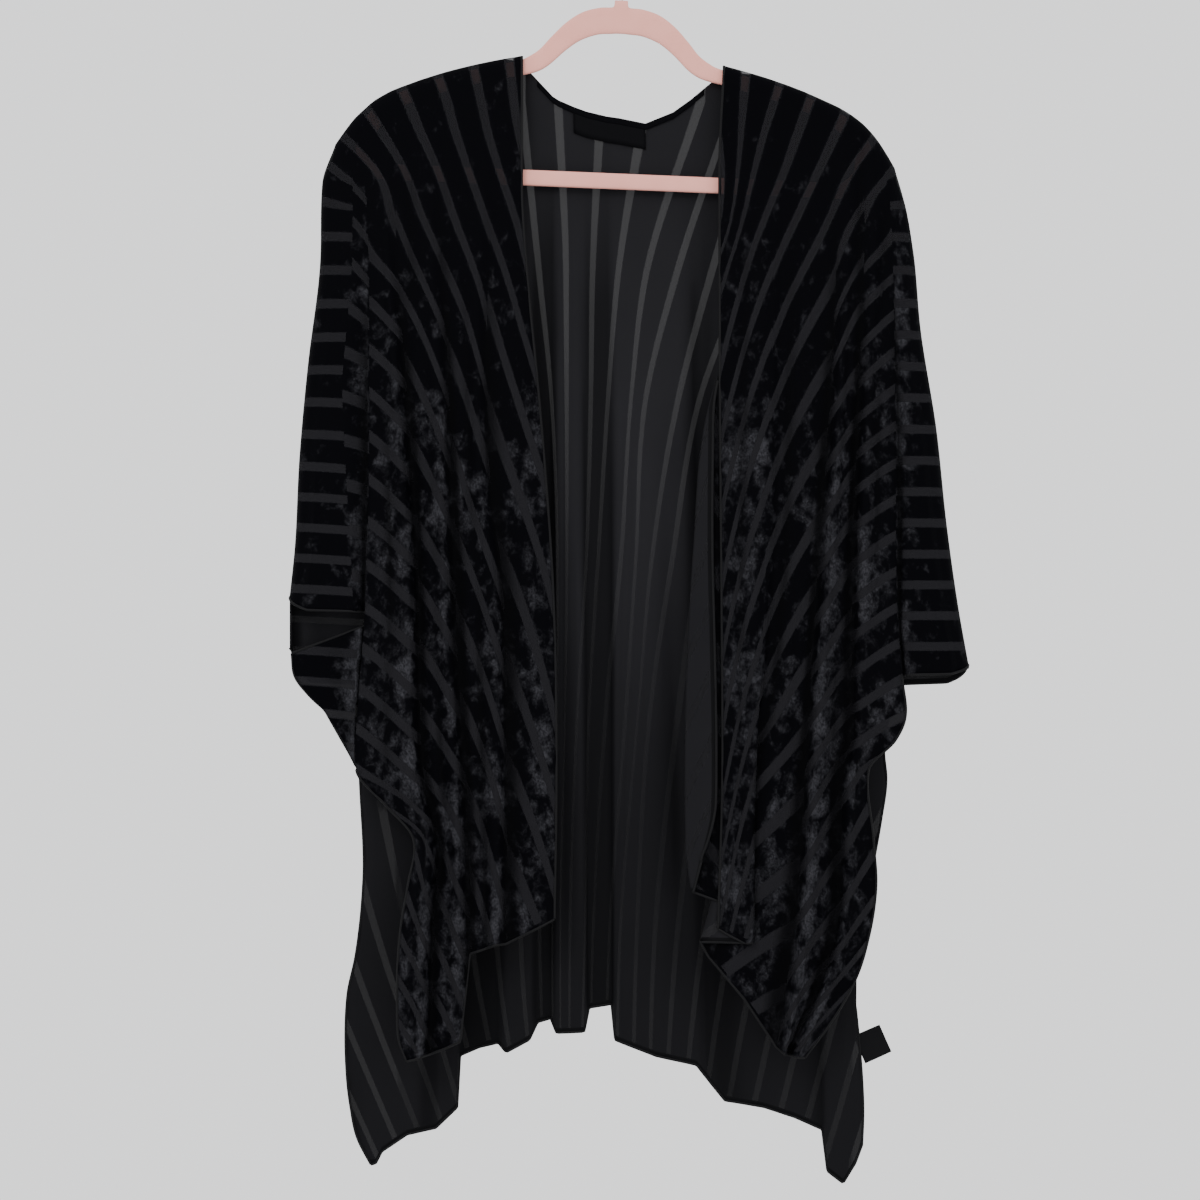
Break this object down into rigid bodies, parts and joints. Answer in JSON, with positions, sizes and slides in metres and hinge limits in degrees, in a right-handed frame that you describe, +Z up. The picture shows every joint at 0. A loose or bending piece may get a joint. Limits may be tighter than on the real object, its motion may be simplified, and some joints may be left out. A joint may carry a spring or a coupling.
{
  "type": "kimono coat on a hanger",
  "caption": "Open-front kimono coat in sheer and velvet stripes, hanging by its own weight on a flocked hanger with a wire hook.",
  "frame": {"origin": "inside top of the hanger's hook, where a rail carries it", "axes": "+Z up, -Y towards someone who faces the coat's front, +X to that viewer's right, which is the wearer's left"},
  "size_m": [0.5641, 0.0604, 1.0562],
  "materials": {
    "burnout_velvet": "near-black crushed velvet bands between sheer dark grey stripes",
    "velvet_binding": "near-black folded binding",
    "black_ribbon": "bare black woven label ribbon",
    "care_ribbon": "bare black satin ribbon",
    "pink_flock": "pale pink flock on moulded plastic",
    "hook_steel": "plated steel wire"
  },
  "bodies": {
    "root": {"back_panel": "burnout_velvet", "front_panel_wearer_right": "burnout_velvet", "front_panel_wearer_left": "burnout_velvet", "neck_binding": "velvet_binding", "neck_label": "black_ribbon", "care_label": "care_ribbon", "hanger_body": "pink_flock", "hanger_hook": "hook_steel"}
  },
  "joints": []
}
